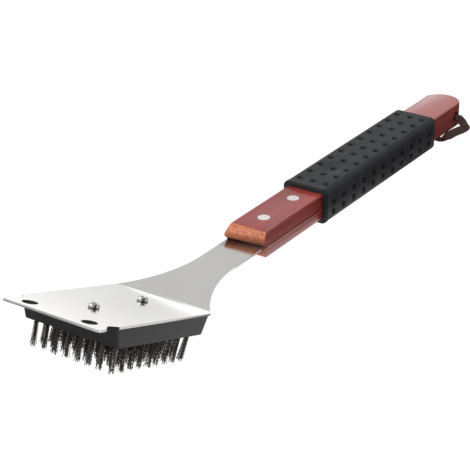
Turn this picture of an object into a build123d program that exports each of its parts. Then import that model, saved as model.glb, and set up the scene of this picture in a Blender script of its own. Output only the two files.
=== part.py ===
from build123d import *
import os
from math import asin, atan2, cos, degrees, pi, radians, sin, sqrt, tan

# Barbecue grill brush: a bent stainless blade with a scraper lip carries a moulded
# brush block under its head and ends in a tang, riveted into a saw slot in a wooden
# handle. A rubber sleeve covers the middle of the handle, and a leather strap hangs
# in a cross hole at its end. All sizes are in millimetres.
#
# The pieces are drawn in the tool's own frame: the origin is on the blade's upper
# face where it bends, X runs along the handle to its end, Y to its left, and Z up
# from the tang. place_at_rest() then lays the whole tool down as it lies on a table,
# on its rear tufts and on the heel of its grip.

# Blade: one piece of sheet
sheet_thickness = 1.5
head_width = 70.0
head_length = 112.5
bend_angle = 19.6
bend_radius = 1.5
neck_radius = 95.0
tang_width = 26.8
tang_in_slot = 68.7
lip_corner_radius = 2.5
notch_radius = 3.5
notch_from_front = 13.6
lip_hole_diameter = 9.5
lip_hole_from_front = 9.1
lip_hole_spacing = 42.8

# Brush block: moulded plastic, every side tapered
block_height = 12.0
block_from_front = 18.0
block_short_of_bend = 0.7
block_front_inset = 4.9
block_side_inset = 1.2
block_rear_inset = 2.4
block_corner_radius = 1.6

# Tufts: crimped wire, folded round a flat anchor that wedges across each hole
tuft_rows = 9
tufts_in_row = 8
tuft_row_pitch = 9.15
tuft_pitch = 8.2
first_row_from_front = 28.0
tuft_length = 17.0
tuft_sides = 6
tuft_hole_diameter = 3.4
tuft_hole_depth = 8.5
tuft_clearance = 0.05
tuft_flare = 0.45
anchor_length = 3.1
anchor_height = 1.6
anchor_thickness = 0.4
anchor_clearance = 0.03

# Screws: cross-recessed pan heads, through the blade into the block
screw_from_front = (41.2, 90.1)
screw_head_diameter = 6.9
screw_head_height = 2.7
screw_diameter = 3.4
screw_length = 10.5
screw_clearance = 0.03
screw_passing_hole = 3.9
screw_tip_diameter = 0.4
# The screw head's profile, as (share of its radius, share of its height)
screw_head_profile = ((0, 0), (1, 0), (1, 0.4), (0.7, 1), (0, 1))
# The cross recess: how far out, how wide and how deep it goes, in the same shares
recess_reach = 0.62
recess_width = 0.26
recess_depth = 0.6
recess_turn = 35.0

# Handle: one piece of wood, split by a saw slot at its front
handle_from_bend = 89.3
handle_length = 285.7
handle_width = 27.6
wood_above_tang = 9.7
wood_below_tang = 7.1
handle_end_rise = 10.0
handle_edge_radius = 0.8
bevel_run = 5.2
bevel_drop = 4.2
slot_length = 70.2
slot_clearance = 0.04

# Rivets: solid, flush with the wood
rivet_diameter = 8.5
rivet_from_handle_front = (23.4, 59.5)
rivet_clearance = 0.03

# Grip: moulded rubber sleeve with a shallow rest for the thumb near its front
grip_from_handle_front = 74.7
grip_length = 156.0
grip_wall = 3.4
grip_corner_radius = 4.2
grip_clearance = 0.05
grip_lip_length = 3.2
grip_lip_rise = 0.5
thumb_rest_from_grip_front = 36.0
thumb_rest_radius = 13.5
thumb_rest_depth = 1.3

# Leather strap, threaded through a cross hole near the handle's end
strap_hole_from_end = 15.2
strap_hole_diameter = 6.8
strap_width = 6.2
strap_thickness = 1.2
strap_stations = 60
# How far along from the hole's mouth the strap turns onto its edge, and lies flat again
strap_turns_on_edge = (2.0, 14.0)
strap_turns_flat = (36.0, 47.0)
# The strap's route on one side, from the hole's mouth to under the handle: each point
# is (along the handle from the hole, out from the handle's side, up from the hole).
# The other side is its mirror image.
strap_route = (
    (0.0, 2.4, -0.8),
    (0.3, 6.0, -4.2),
    (1.6, 9.6, -7.2),
    (-3.0, 9.7, -7.85),
    (-11.0, 8.2, -8.2),
    (-19.0, 7.0, -8.5),
    (-26.4, 5.9, -8.75),
    (-28.8, 3.2, -9.3),
    (-27.2, 0.6, -10.7),
    (-23.4, -6.0, -11.05),
)

# Worked out from the sizes above
tuft_hole_radius = tuft_hole_diameter / 2
tuft_radius = tuft_hole_radius - tuft_clearance
handle_end = handle_from_bend + handle_length
grip_front = handle_from_bend + grip_from_handle_front
grip_rear = grip_front + grip_length
handle_top = wood_above_tang
handle_bottom = -(sheet_thickness + wood_below_tang)
strap_hole = Vector(handle_end - strap_hole_from_end, 0, (handle_top + handle_bottom) / 2)
block_underside = -(sheet_thickness + block_height)


def head_frame(depth=0.0):
    """Location on the head, depth below its upper face, with X towards the handle."""
    bend = radians(bend_angle)
    normal = Vector(sin(bend), 0, cos(bend))
    return Location(Plane(origin=normal * -depth, x_dir=(cos(bend), 0, -sin(bend)), z_dir=normal))


def on_head(from_front, y=0.0, depth=0.0):
    """Location on the head, measured back from its front edge."""
    return head_frame(depth) * Pos(from_front - head_length, y, 0)


def on_handle(from_handle_front, y=0.0, z=0.0):
    """Location on the handle, measured back from its front end."""
    return Pos(handle_from_bend + from_handle_front, y, z)


def both_sides(face):
    """A face and its mirror image across the tool's middle plane."""
    return face + mirror(face, about=Plane.XZ)


# ---------------------------------------------------------------- blade


def bent_strip():
    """The blade's side profile with its bend, as wide as the head."""
    bend = radians(bend_angle)
    along = Vector(-cos(bend), sin(bend))
    down = Vector(-sin(bend), -cos(bend)) * sheet_thickness
    tang_end = handle_from_bend + tang_in_slot
    front_top = along * head_length
    inner = Vector(0, 0)
    outer = Vector(-sheet_thickness * tan(bend / 2), -sheet_thickness)
    corners = [front_top, inner, (tang_end, 0), (tang_end, -sheet_thickness), outer, front_top + down]
    profile = make_face(Polyline(*corners, close=True))
    profile = fillet(profile.vertices().sort_by_distance(inner)[0], bend_radius)
    profile = fillet(profile.vertices().sort_by_distance(outer)[0], bend_radius + sheet_thickness)
    return extrude(Plane.XZ * profile, amount=head_width / 2, both=True)


def head_outline():
    """The head's flat outline, with its lip cut off from the sides by two notches."""
    lip = notch_from_front - notch_radius
    seam = sheet_thickness
    outline = Pos(-(head_length + seam) / 2, 0) * Rectangle(head_length - seam, head_width)
    notch = Pos(notch_from_front - head_length, head_width / 2) * Circle(notch_radius)
    outline -= both_sides(notch)
    near_front = outline.vertices().filter_by_position(Axis.X, -head_length - 1, lip - head_length - 0.1)
    outline = fillet(near_front, lip_corner_radius)
    lip_hole = Pos(lip_hole_from_front - head_length, lip_hole_spacing / 2) * Circle(lip_hole_diameter / 2)
    holes = [lip_hole, mirror(lip_hole, about=Plane.XZ)]
    holes += [Pos(x - head_length, 0) * Circle(screw_passing_hole / 2) for x in screw_from_front]
    return outline - holes


def neck_outline():
    """The neck's flat outline: one hollow arc on each side, down to the tang."""
    drop = (head_width - tang_width) / 2
    reach = sqrt(neck_radius**2 - (neck_radius - drop) ** 2)
    turn = asin(reach / neck_radius)
    centre = Vector(reach, tang_width / 2 + neck_radius)
    start, middle, end = (centre - Vector(sin(a), cos(a)) * neck_radius for a in (turn, turn / 2, 0))
    tang_end = handle_from_bend + tang_in_slot
    overlap = 2 * sheet_thickness
    edge = [
        Line((-overlap, 0), (-overlap, start.Y)),
        Line((-overlap, start.Y), start),
        ThreePointArc(start, middle, end),
        Line(end, (tang_end, tang_width / 2)),
        Line((tang_end, tang_width / 2), (tang_end, 0)),
        Line((tang_end, 0), (-overlap, 0)),
    ]
    outline = both_sides(make_face(edge))
    holes = [
        Pos(handle_from_bend + x, 0) * Circle(rivet_diameter / 2 + rivet_clearance)
        for x in rivet_from_handle_front
    ]
    return outline - holes


def make_blade():
    """Head, neck and tang, in one sheet."""
    reach = 3 * sheet_thickness
    head = extrude(head_frame() * head_outline(), amount=reach, both=True)
    neck = extrude(neck_outline(), amount=reach, both=True)
    return bent_strip() & (head + neck)


# ---------------------------------------------------------------- brush


def tuft_places():
    """Rows of (distance from the head's front, y) for the tufts."""
    for row in range(tuft_rows):
        from_front = first_row_from_front + row * tuft_row_pitch
        yield [(from_front, (i - (tufts_in_row - 1) / 2) * tuft_pitch) for i in range(tufts_in_row)]


def block_blank():
    """The tapered block with its four slanted corners rounded."""
    front = block_from_front
    rear = head_length - block_short_of_bend
    low_front, low_rear = front + block_front_inset, rear - block_rear_inset
    top_face = Rectangle(rear - front, head_width)
    low_face = Rectangle(low_rear - low_front, head_width - 2 * block_side_inset)
    top = on_head((front + rear) / 2, depth=sheet_thickness) * top_face
    low = on_head((low_front + low_rear) / 2, depth=-block_underside) * low_face
    blank = loft([low, top])
    across = blank.edges().filter_by(Axis.Y)
    flat = across + blank.faces().sort_by(Axis.Z)[0].edges() + blank.faces().sort_by(Axis.Z)[-1].edges()
    slanted = [edge for edge in blank.edges() if not any(edge.is_same(other) for other in flat)]
    return fillet(slanted, block_corner_radius)


def anchor_box(extra=0.0):
    """A flat anchor, standing on its edge along X, centred on its own middle."""
    return Box(anchor_length + 2 * extra, anchor_thickness + 2 * extra, anchor_height + 2 * extra)


def anchor_depth():
    """How far below the head's upper face the anchors' middles lie."""
    return sheet_thickness + block_height - tuft_hole_depth + anchor_height


def make_block():
    """The brush block, with its tuft holes and screw holes."""
    tuft_hole = extrude(RegularPolygon(tuft_hole_radius, tuft_sides), amount=tuft_hole_depth)
    cuts = [on_head(x, y, -block_underside) * tuft_hole for row in tuft_places() for x, y in row]
    for x in screw_from_front:
        bore = Cylinder(
            screw_diameter / 2 + screw_clearance,
            screw_length + screw_clearance,
            align=(Align.CENTER, Align.CENTER, Align.MAX),
        )
        cuts.append(on_head(x) * bore)
    return block_blank() - cuts


def tuft():
    """One tuft on the block's underside: a bundle that opens a little to its tips."""
    bundle = RegularPolygon(tuft_radius, tuft_sides)
    opening = degrees(atan2(tuft_flare, tuft_length))
    root = extrude(bundle, amount=tuft_hole_depth - tuft_clearance)
    tip = extrude(bundle, amount=-tuft_length, taper=-opening)
    crook = Pos(0, 0, tuft_hole_depth - anchor_height) * anchor_box(anchor_clearance)
    return root + tip - crook


def make_tuft_row(places):
    """The tufts of one row, side by side."""
    one = tuft()
    return Compound([on_head(x, y, -block_underside) * one for x, y in places])


def make_anchor_row(places):
    """The flat anchors that hold one row of tufts."""
    return Compound([on_head(x, y, anchor_depth()) * anchor_box() for x, y in places])


def make_screw(from_front):
    """A pan-head screw with a cross recess."""
    radius, height = screw_head_diameter / 2, screw_head_height
    outline = [(across * radius, up * height) for across, up in screw_head_profile]
    head = revolve(Plane.XZ * make_face(Polyline(*outline, close=True)), Axis.Z)
    wing = (2 * recess_reach * radius, recess_width * radius, 2 * recess_depth * height)
    for turn in (0, 90):
        head -= Rot(0, 0, recess_turn + turn) * Pos(0, 0, height) * Box(*wing)
    point = screw_diameter / 2
    below = (Align.CENTER, Align.CENTER, Align.MAX)
    shank = Cylinder(point, screw_length - point, align=below)
    tip = Cone(screw_tip_diameter / 2, point, point, align=below)
    return on_head(from_front) * (head + shank + Pos(0, 0, point - screw_length) * tip)


# ---------------------------------------------------------------- handle


def handle_outline():
    """The handle seen from above: straight, with a round far end."""
    half = handle_width / 2
    shoulder = handle_end - handle_end_rise
    edge = [
        Line((shoulder, half), (handle_from_bend, half)),
        Line((handle_from_bend, half), (handle_from_bend, -half)),
        Line((handle_from_bend, -half), (shoulder, -half)),
        ThreePointArc((shoulder, -half), (handle_end, 0), (shoulder, half)),
    ]
    return make_face(edge)


def handle_side():
    """The handle seen from the side, with its front end bevelled above and below."""
    front = handle_from_bend
    corners = [
        (front, handle_top - bevel_drop),
        (front + bevel_run, handle_top),
        (handle_end, handle_top),
        (handle_end, handle_bottom),
        (front + bevel_run, handle_bottom),
        (front, handle_bottom + bevel_drop),
    ]
    return make_face(Polyline(*corners, close=True))


def make_handle():
    """The wooden handle with its saw slot, rivet holes and cross hole."""
    tall = handle_top - handle_bottom
    body = extrude(handle_outline(), amount=tall, both=True)
    body &= extrude(Plane.XZ * handle_side(), amount=handle_width, both=True)
    long_edges = body.edges().filter_by(Axis.X).sort_by(SortBy.LENGTH)[-4:]
    end_arcs = body.edges().filter_by(GeomType.CIRCLE)
    body = fillet(long_edges + end_arcs, handle_edge_radius)
    slot = Box(2 * slot_length, 2 * handle_width, sheet_thickness + 2 * slot_clearance)
    body -= on_handle(0, z=-sheet_thickness / 2) * slot
    for x in rivet_from_handle_front:
        body -= on_handle(x) * Cylinder(rivet_diameter / 2 + rivet_clearance, 3 * tall)
    body -= Pos(strap_hole) * Rot(90, 0, 0) * Cylinder(strap_hole_diameter / 2, 2 * handle_width)
    return body


def make_rivet(from_handle_front):
    """A solid rivet, ground flush with the wood above and below."""
    shank = Cylinder(rivet_diameter / 2, handle_top - handle_bottom)
    return on_handle(from_handle_front, z=(handle_top + handle_bottom) / 2) * shank


def sleeve_section(wall, corner):
    """The handle's section grown by wall, its corners rounded."""
    tall = handle_top - handle_bottom
    return RectangleRounded(handle_width + 2 * wall, tall + 2 * wall, corner)


def thumb_rest():
    """A large ball that dishes the sleeve's upper face near its front."""
    ball = (thumb_rest_radius**2 + thumb_rest_depth**2) / (2 * thumb_rest_depth)
    top = handle_top + grip_wall
    return Pos(grip_front + thumb_rest_from_grip_front, 0, top + ball - thumb_rest_depth) * Sphere(ball)


def make_grip():
    """The rubber sleeve, with a raised lip round its front end and a rest for the thumb."""
    middle = (handle_top + handle_bottom) / 2
    start = Location(Plane(origin=(grip_front, 0, middle), x_dir=(0, 1, 0), z_dir=(1, 0, 0)))
    sleeve = extrude(start * sleeve_section(grip_wall, grip_corner_radius), amount=grip_length)
    lip = sleeve_section(grip_wall + grip_lip_rise, grip_corner_radius + grip_lip_rise)
    sleeve += extrude(start * lip, amount=grip_lip_length)
    bore = sleeve_section(grip_clearance, handle_edge_radius)
    sleeve -= extrude(start * bore, amount=grip_length)
    return sleeve - thumb_rest()


# ---------------------------------------------------------------- strap


def ease(value, span):
    """0 before the span, 1 after it, and a smooth rise in between."""
    part = min(max((value - span[0]) / (span[1] - span[0]), 0.0), 1.0)
    return part * part * (3 - 2 * part)


def strap_line():
    """The strap's centre line outside the handle, from one mouth of the hole to the other."""
    side = handle_width / 2
    right = [Vector(0, -side, 0)] + [Vector(x, -side - out, z) for x, out, z in strap_route]
    left = [Vector(p.X, -p.Y, p.Z) for p in reversed(right)]
    points = [strap_hole + p for p in right + left]
    radii = []
    for before, here, after in zip(points, points[1:], points[2:]):
        turn = radians((here - before).get_angle(after - here))
        reach = 0.45 * min((here - before).length, (after - here).length)
        radii.append(reach / tan(turn / 2))
    return FilletPolyline(*points, radius=radii)


def strap_corners(line, along):
    """The four corners of the strap at a fraction along its line, turned as the strap twists."""
    walked = min(along, 1 - along) * line.length
    turn = radians(90 * (ease(walked, strap_turns_on_edge) + ease(walked, strap_turns_flat)))
    forward = line % along
    side = forward.cross(Vector(0, 0, 1)).normalized()
    across = side * cos(turn) + side.cross(forward) * sin(turn)
    half_width = across * (strap_width / 2)
    half_thick = forward.cross(across) * (strap_thickness / 2)
    middle = line @ along
    return [
        middle + half_width + half_thick,
        middle - half_width + half_thick,
        middle - half_width - half_thick,
        middle + half_width - half_thick,
    ]


def make_strap():
    """The leather strap: a flat band along its line, closed through the cross hole."""
    line = strap_line()
    rings = [strap_corners(line, i / strap_stations) for i in range(strap_stations + 1)]
    facets = [Face(Wire.make_polygon(ends)) for ends in (rings[0], rings[-1])]
    for here, there in zip(rings, rings[1:]):
        for i in range(4):
            j = (i + 1) % 4
            facets.append(Face(Wire.make_polygon([here[i], here[j], there[i]])))
            facets.append(Face(Wire.make_polygon([here[j], there[j], there[i]])))
    inside = Pos(strap_hole) * Box(strap_width, handle_width, strap_thickness)
    return Solid(Shell(facets)) + inside


# ---------------------------------------------------------------- whole tool


def place_at_rest(rigid):
    """Location that lays the tool on a table, its footprint's middle at the origin."""
    last_row = first_row_from_front + (tuft_rows - 1) * tuft_row_pitch
    tips = on_head(last_row + tuft_radius + tuft_flare, depth=tuft_length - block_underside).position
    heel = Vector(grip_rear, 0, handle_bottom - grip_wall)
    level = Rot(0, degrees(atan2(heel.Z - tips.Z, heel.X - tips.X)), 0)
    box = Compound([level * solid for solid in rigid]).bounding_box()
    return Pos(-(box.min.X + box.max.X) / 2, 0, -box.min.Z) * level


def make_rigid_pieces():
    """Every piece but the strap, by name."""
    pieces = {
        "blade": make_blade(),
        "brush_block": make_block(),
        "handle": make_handle(),
        "grip_sleeve": make_grip(),
    }
    for name, place in zip(("front", "rear"), screw_from_front):
        pieces["screw_" + name] = make_screw(place)
    for name, place in zip(("front", "rear"), rivet_from_handle_front):
        pieces["rivet_" + name] = make_rivet(place)
    for number, row in enumerate(tuft_places(), 1):
        pieces["bristle_row_" + str(number)] = make_tuft_row(row)
        pieces["anchor_row_" + str(number)] = make_anchor_row(row)
    return pieces


pieces = make_rigid_pieces()
rest = place_at_rest(pieces.values())
pieces["hanging_strap"] = make_strap()

os.makedirs("parts", exist_ok=True)
for name, shape in pieces.items():
    export_step(rest * shape, "parts/" + name + ".step")
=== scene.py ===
"""Looks of a barbecue grill brush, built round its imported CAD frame.

The rivets and wire anchors keep their CAD shapes and get finishes. The blade and the
handle start as copies of their CAD solids. The brush block, bristles, screws, rubber grip
and leather strap are modelled here. All of these stand for their CAD nodes. Lengths inside
the classes are in millimetres, in the tool's own frame or its head's; a ToolFrame turns
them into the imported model's metres. The studio is in metres.
"""

from __future__ import annotations

import logging
import math
import random
from collections.abc import Callable, Mapping, Sequence
from dataclasses import dataclass
from enum import Enum
from functools import partial
from typing import Any

import bmesh
import bpy
import numpy as np
from mathutils import Matrix, Vector

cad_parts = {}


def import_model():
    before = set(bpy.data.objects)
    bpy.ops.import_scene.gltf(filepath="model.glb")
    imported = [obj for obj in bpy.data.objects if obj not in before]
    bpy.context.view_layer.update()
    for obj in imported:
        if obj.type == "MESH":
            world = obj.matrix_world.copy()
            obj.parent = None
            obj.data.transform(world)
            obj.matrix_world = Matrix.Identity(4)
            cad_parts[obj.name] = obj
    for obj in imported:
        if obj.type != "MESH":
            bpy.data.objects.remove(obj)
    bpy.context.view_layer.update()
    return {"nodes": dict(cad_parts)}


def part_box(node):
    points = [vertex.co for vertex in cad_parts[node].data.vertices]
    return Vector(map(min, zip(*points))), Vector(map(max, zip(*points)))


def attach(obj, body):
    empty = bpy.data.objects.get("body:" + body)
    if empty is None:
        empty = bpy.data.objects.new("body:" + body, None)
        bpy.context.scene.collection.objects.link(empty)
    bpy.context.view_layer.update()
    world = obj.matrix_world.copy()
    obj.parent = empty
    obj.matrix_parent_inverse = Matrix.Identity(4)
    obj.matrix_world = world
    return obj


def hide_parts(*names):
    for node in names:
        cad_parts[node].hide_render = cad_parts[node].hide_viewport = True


LOG = logging.getLogger("grill_brush")
MM = 0.001
MIDDLE = 0.55  # height of the handle's middle over the tang's upper face
RIVETS = {"rivet_front": 112.7, "rivet_rear": 148.8}  # distances from the bend
SCREWS = {"screw_front": 41.2, "screw_rear": 90.1}  # distances from the head's front edge
ROWS = 9  # rows of tufts
GOLDEN_ANGLE = 2.39996  # spreads the wires of a tuft evenly
SAME_PLACE = 0.002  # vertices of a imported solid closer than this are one
SAME_PLANE = math.radians(0.5)  # its faces that lean less than this are one
Pair = tuple[float, float]
Triple = tuple[float, float, float]
Colour = Triple
Piece = bpy.types.Object
Test = Callable[[Any], bool]


def srgb(code: str) -> Colour:
    """Linear colour of a six-digit hexadecimal code."""
    parts = [int(code[i : i + 2], 16) / 255 for i in (0, 2, 4)]
    return tuple(p / 12.92 if p <= 0.04045 else ((p + 0.055) / 1.055) ** 2.4 for p in parts)


def ease(value: Any, low: float, high: float) -> Any:
    """0 up to low, 1 from high on, and a smooth rise in between, for a number or an array."""
    part = np.clip((value - low) / (high - low), 0.0, 1.0)
    return part * part * (3 - 2 * part)


# --- frames


@dataclass(frozen=True)
class ToolFrame:
    """Where the tool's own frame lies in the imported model.

    The origin is on the blade's upper face at its bend, X runs along the handle, Z is up
    from the tang. The head's frame is the same one, turned about the bend.
    """

    to_rest: Matrix
    bend: float = math.radians(19.6)
    head_length: float = 112.5

    @classmethod
    def from_rivets(cls) -> ToolFrame:
        """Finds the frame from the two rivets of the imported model."""
        front, rear = (sum(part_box(node), Vector()) / 2 for node in RIVETS)
        along = (rear - front).normalized()
        turn = math.atan2(-along.z, along.x)
        rotation = Matrix.Rotation(turn, 4, "Y")
        origin = front - (rotation @ Vector((RIVETS["rivet_front"], 0, MIDDLE))) * MM
        return cls(Matrix.Translation(origin) @ rotation @ Matrix.Scale(MM, 4))

    @property
    def head(self) -> Matrix:
        """Head millimetres to model metres: X from the front edge, Z from the upper face."""
        to_front = Matrix.Translation((-self.head_length, 0, 0))
        return self.to_rest @ Matrix.Rotation(self.bend, 4, "Y") @ to_front


# --- shader maths


def distance(x: Wire, y: Wire) -> Wire:
    """Distance from the origin of a plane."""
    return (x * x + y * y) ** 0.5


def _maths(operation: str, last: bool = False) -> Callable[..., Wire]:
    """A method of Wire that adds one Math node.

    Args:
        operation: the node's operation.
        last: whether the wire comes after the other value.

    Returns:
        The method.
    """

    def method(wire: Wire, *others: Any) -> Wire:
        """One Math node on the wire and the other values."""
        values = (*others, wire) if last else (wire, *others)
        return wire.sheet.node("ShaderNodeMath", {"operation": operation}, dict(enumerate(values)))

    return method


class Wire:
    """A shader output that Python arithmetic works on."""

    def __init__(self, sheet: NodeSheet, output: bpy.types.NodeSocket) -> None:
        self.sheet = sheet
        self.output = output

    __add__ = __radd__ = _maths("ADD")
    __sub__ = _maths("SUBTRACT")
    __rsub__ = _maths("SUBTRACT", last=True)
    __mul__ = __rmul__ = _maths("MULTIPLY")
    __pow__ = _maths("POWER")
    __abs__ = _maths("ABSOLUTE")
    wave = _maths("SINE")
    least = _maths("MINIMUM")
    most = _maths("MAXIMUM")

    def step(self, low: float, high: float) -> Wire:
        """0 up to low, 1 from high on, smooth in between; falling if low is above high."""
        start, end = (0.0, 1.0) if low < high else (1.0, 0.0)
        ends = {1: min(low, high), 2: max(low, high), 3: start, 4: end}
        settings = {"interpolation_type": "SMOOTHSTEP"}
        return self.sheet.node("ShaderNodeMapRange", settings, {0: self, **ends})


class NodeSheet:
    """A node tree, written as Python expressions on its sockets."""

    def __init__(self, tree: bpy.types.NodeTree) -> None:
        self.tree = tree

    def _feed(self, node: bpy.types.Node, inputs: Mapping[Any, Any]) -> None:
        """Links or sets a node's inputs."""
        for key, value in inputs.items():
            if isinstance(value, Wire):
                self.tree.links.new(value.output, node.inputs[key])
            elif node.inputs[key].type == "RGBA":
                node.inputs[key].default_value = (*value, 1.0)
            else:
                node.inputs[key].default_value = value

    def node(
        self,
        kind: str,
        settings: Mapping[str, Any] | None = None,
        inputs: Mapping[Any, Any] | None = None,
        output: int | str = 0,
    ) -> Wire:
        """Adds any node.

        Args:
            kind: the node's type.
            settings: its own settings, set first; "stops" are a ramp's places and colours.
            inputs: values or links, by socket name or number.
            output: the socket to read.

        Returns:
            That output.
        """
        made = self.tree.nodes.new(kind)
        for key, value in (settings or {}).items():
            if key == "stops":
                ramp = made.color_ramp.elements
                while len(ramp) < len(value):
                    ramp.new(1.0)
                for stop, (place, colour) in zip(ramp, value):
                    stop.position, stop.color = place, (*colour, 1.0)
            else:
                setattr(made, key, value)
        self._feed(made, inputs or {})
        return Wire(self, made.outputs[output])

    def place(self, matrix: Matrix) -> Wire:
        """Millimetres of a frame of the tool, from Object coordinates.

        Args:
            matrix: the frame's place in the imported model, with its scale.

        Returns:
            The coordinates, as a vector.
        """
        spot, turn, scale = matrix.decompose()
        here = self.node("ShaderNodeTexCoord", output="Object")
        inputs = {"Vector": here, "Location": spot, "Rotation": turn.to_euler(), "Scale": scale}
        return self.node("ShaderNodeMapping", {"vector_type": "TEXTURE"}, inputs)

    def stretch(self, vector: Wire, x: float, y: float, z: float) -> Wire:
        """A vector with its parts multiplied."""
        return self.node("ShaderNodeVectorMath", {"operation": "MULTIPLY"}, {0: vector, 1: (x, y, z)})

    def split(self, vector: Wire) -> tuple[Wire, Wire, Wire]:
        """The three parts of a vector."""
        made = self.node("ShaderNodeSeparateXYZ", inputs={0: vector}).output.node
        return tuple(Wire(self, socket) for socket in made.outputs)

    def noise(self, vector: Wire, scale: float, *settings: float) -> Wire:
        """Soft noise from 0 to 1; the settings are its detail, roughness and distortion."""
        names = ("Detail", "Roughness", "Distortion")
        inputs = {"Vector": vector, "Scale": scale, **dict(zip(names, settings))}
        return self.node("ShaderNodeTexNoise", inputs=inputs)

    def grain(self, vector: Wire, stretch: Triple, *settings: float) -> Wire:
        """Noise on a stretched vector."""
        return self.noise(self.stretch(vector, *stretch), 1.0, *settings)

    def cells(self, vector: Wire, scale: float) -> Wire:
        """Distance to the nearest cell's middle."""
        return self.node("ShaderNodeTexVoronoi", inputs={"Vector": vector, "Scale": scale})

    def attribute(self, name: str) -> Wire:
        """A number stored on the mesh."""
        return self.node("ShaderNodeAttribute", {"attribute_name": name}, output="Fac")

    def mix(self, share: Any, first: Any, second: Any) -> Wire:
        """Two colours mixed."""
        inputs = {0: share, 6: first, 7: second}
        return self.node("ShaderNodeMix", {"data_type": "RGBA"}, inputs, output=2)

    def relief(self, height: Wire, depth: float, strength: float) -> Wire:
        """A bumped normal.

        Args:
            height: the relief, from 0 to 1.
            depth: how deep it is, in millimetres.
            strength: how much of it shows.

        Returns:
            The normal.
        """
        inputs = {"Strength": strength, "Distance": depth * MM, "Height": height}
        return self.node("ShaderNodeBump", inputs=inputs)


class Shader(NodeSheet):
    """One node material round a Principled surface."""

    def __init__(self, name: str) -> None:
        self.material = bpy.data.materials.new(name)
        self.material.use_nodes = True
        super().__init__(self.material.node_tree)
        self.tree.nodes.clear()
        self.surface = self.tree.nodes.new("ShaderNodeBsdfPrincipled")
        output = self.tree.nodes.new("ShaderNodeOutputMaterial")
        self.tree.links.new(self.surface.outputs[0], output.inputs["Surface"])

    def finish(self, **sockets: Any) -> bpy.types.Material:
        """Sets the surface's sockets, with spaces written as underscores.

        Args:
            **sockets: values or links.

        Returns:
            The material.
        """
        self._feed(self.surface, {name.replace("_", " "): value for name, value in sockets.items()})
        return self.material


# --- finishes


@dataclass(frozen=True)
class SheetSteel:
    """Stainless sheet, polished along its length, with dull punched edges."""

    name: str = "blade_steel"
    light: Colour = srgb("EAE9E7")
    dark: Colour = srgb("DDDCDB")
    punched: Colour = srgb("3B3937")
    sheared: Colour = srgb("C4C3C2")
    painted_slot_reflection: Colour = srgb("8C3A30")
    painted_end_reflection: Colour = srgb("5A4C48")
    roughness: float = 0.1
    lip_hole: Triple = (9.1, 21.4, 4.75)
    notch: Triple = (13.6, 35.0, 3.5)
    notch_mouth: Triple = (13.3, 39.1, 7.1)
    wood_from: float = 89.3
    half_tang: float = 13.4
    end_reflection_span: Pair = (77.0, 80.5)
    lip_wall: Pair = (0.12, 0.04)
    hole_wall: Pair = (0.16, 0.06)

    def material(self, frame: ToolFrame) -> bpy.types.Material:
        """Fine polishing lines, faint clouding, a few handling marks and painted reflections of the
        wood.
        """
        shader = Shader(f"{self.name}_finish")
        here = shader.place(frame.to_rest)
        lines = shader.grain(here, (0.02, 3.2, 3.2), 3.0, 0.6)
        clouds = shader.noise(here, 0.035, 2.0)
        marks = shader.grain(here, (0.5, 0.08, 0.08), 4.0, 0.7).step(0.66, 0.74)
        base = shader.mix(lines * 0.7 + clouds * 0.3, self.dark, self.light)
        walls = self._punched(shader, frame)
        base = shader.mix(walls, base, self.punched)
        from_front, _, _ = shader.split(shader.place(frame.head))
        sheared = from_front.step(*self.lip_wall)
        base = shader.mix(sheared, base, self.sheared)
        x, y, _ = shader.split(here)
        at_edge = abs(y).step(self.half_tang - 0.12, self.half_tang - 0.04)
        # painted reflection: the tang's edges at the slot are tinted red-brown, for the wood mirrored
        # in them
        slot = (x - self.wood_from).step(-0.4, 0.2) * at_edge
        base = shader.mix(slot, base, self.painted_slot_reflection)
        # painted reflection: the tang darkens towards the wood, for the wood's dark front end mirrored
        # in it
        base = shader.mix(x.step(*self.end_reflection_span) * 0.3, base, self.painted_end_reflection)
        rough = self.roughness + lines * 0.06 + clouds * 0.04 + marks * 0.05
        rough = rough + (walls + sheared) * 0.3 + slot * 0.25
        normal = shader.relief(lines, 0.004, 0.3)
        return shader.finish(Base_Color=base, Metallic=1.0, Roughness=rough, Normal=normal)

    def _punched(self, shader: Shader, frame: ToolFrame) -> Wire:
        """1 on the walls of the lip's holes and notches."""
        x, y, _ = shader.split(shader.place(frame.head))
        walls = []
        for from_front, out, radius in (self.lip_hole, self.notch, self.notch_mouth):
            away = distance(x - from_front, abs(y) - out)
            walls.append(away.step(*(radius + margin for margin in self.hole_wall)))
        return walls[0].most(walls[1]).most(walls[2])


@dataclass(frozen=True)
class ScrewPlating:
    """Bright plating on the screw heads, with painted shade in the recess and at the foot."""

    name: str = "screw_plating"
    light: Colour = srgb("F2F0EC")
    dark: Colour = srgb("8C8882")
    painted_recess_shade: Colour = srgb("443E39")
    recess: float = 2.25
    height: float = 2.7
    foot: Pair = (0.8, 0.25)

    def material(self, frame: ToolFrame) -> bpy.types.Material:
        """Uneven bright metal, with painted shade in the recess and at the foot."""
        shader = Shader(f"{self.name}_finish")
        here = shader.place(frame.head)
        x, y, z = shader.split(here)
        front, rear = (abs(x - middle) for middle in SCREWS.values())
        from_middle = front.least(rear)
        radius = distance(from_middle, y)
        below_top = z.step(self.height - 0.05, self.height - 0.2)
        sunk = below_top * radius.step(self.recess + 0.15, self.recess)
        foot = z.step(*self.foot)
        patches = shader.noise(here, 0.9, 3.0, 0.6)
        base = shader.mix(patches.step(0.35, 0.7), self.dark, self.light)
        # painted shade: near black in the cross recess and at the foot on the blade
        base = shader.mix(sunk.most(foot * 0.85), base, self.painted_recess_shade)
        normal = shader.relief(patches, 0.02, 0.4)
        rough = 0.12 + patches * 0.1 + sunk * 0.3
        return shader.finish(Base_Color=base, Metallic=1.0, Roughness=rough, Normal=normal)


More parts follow.
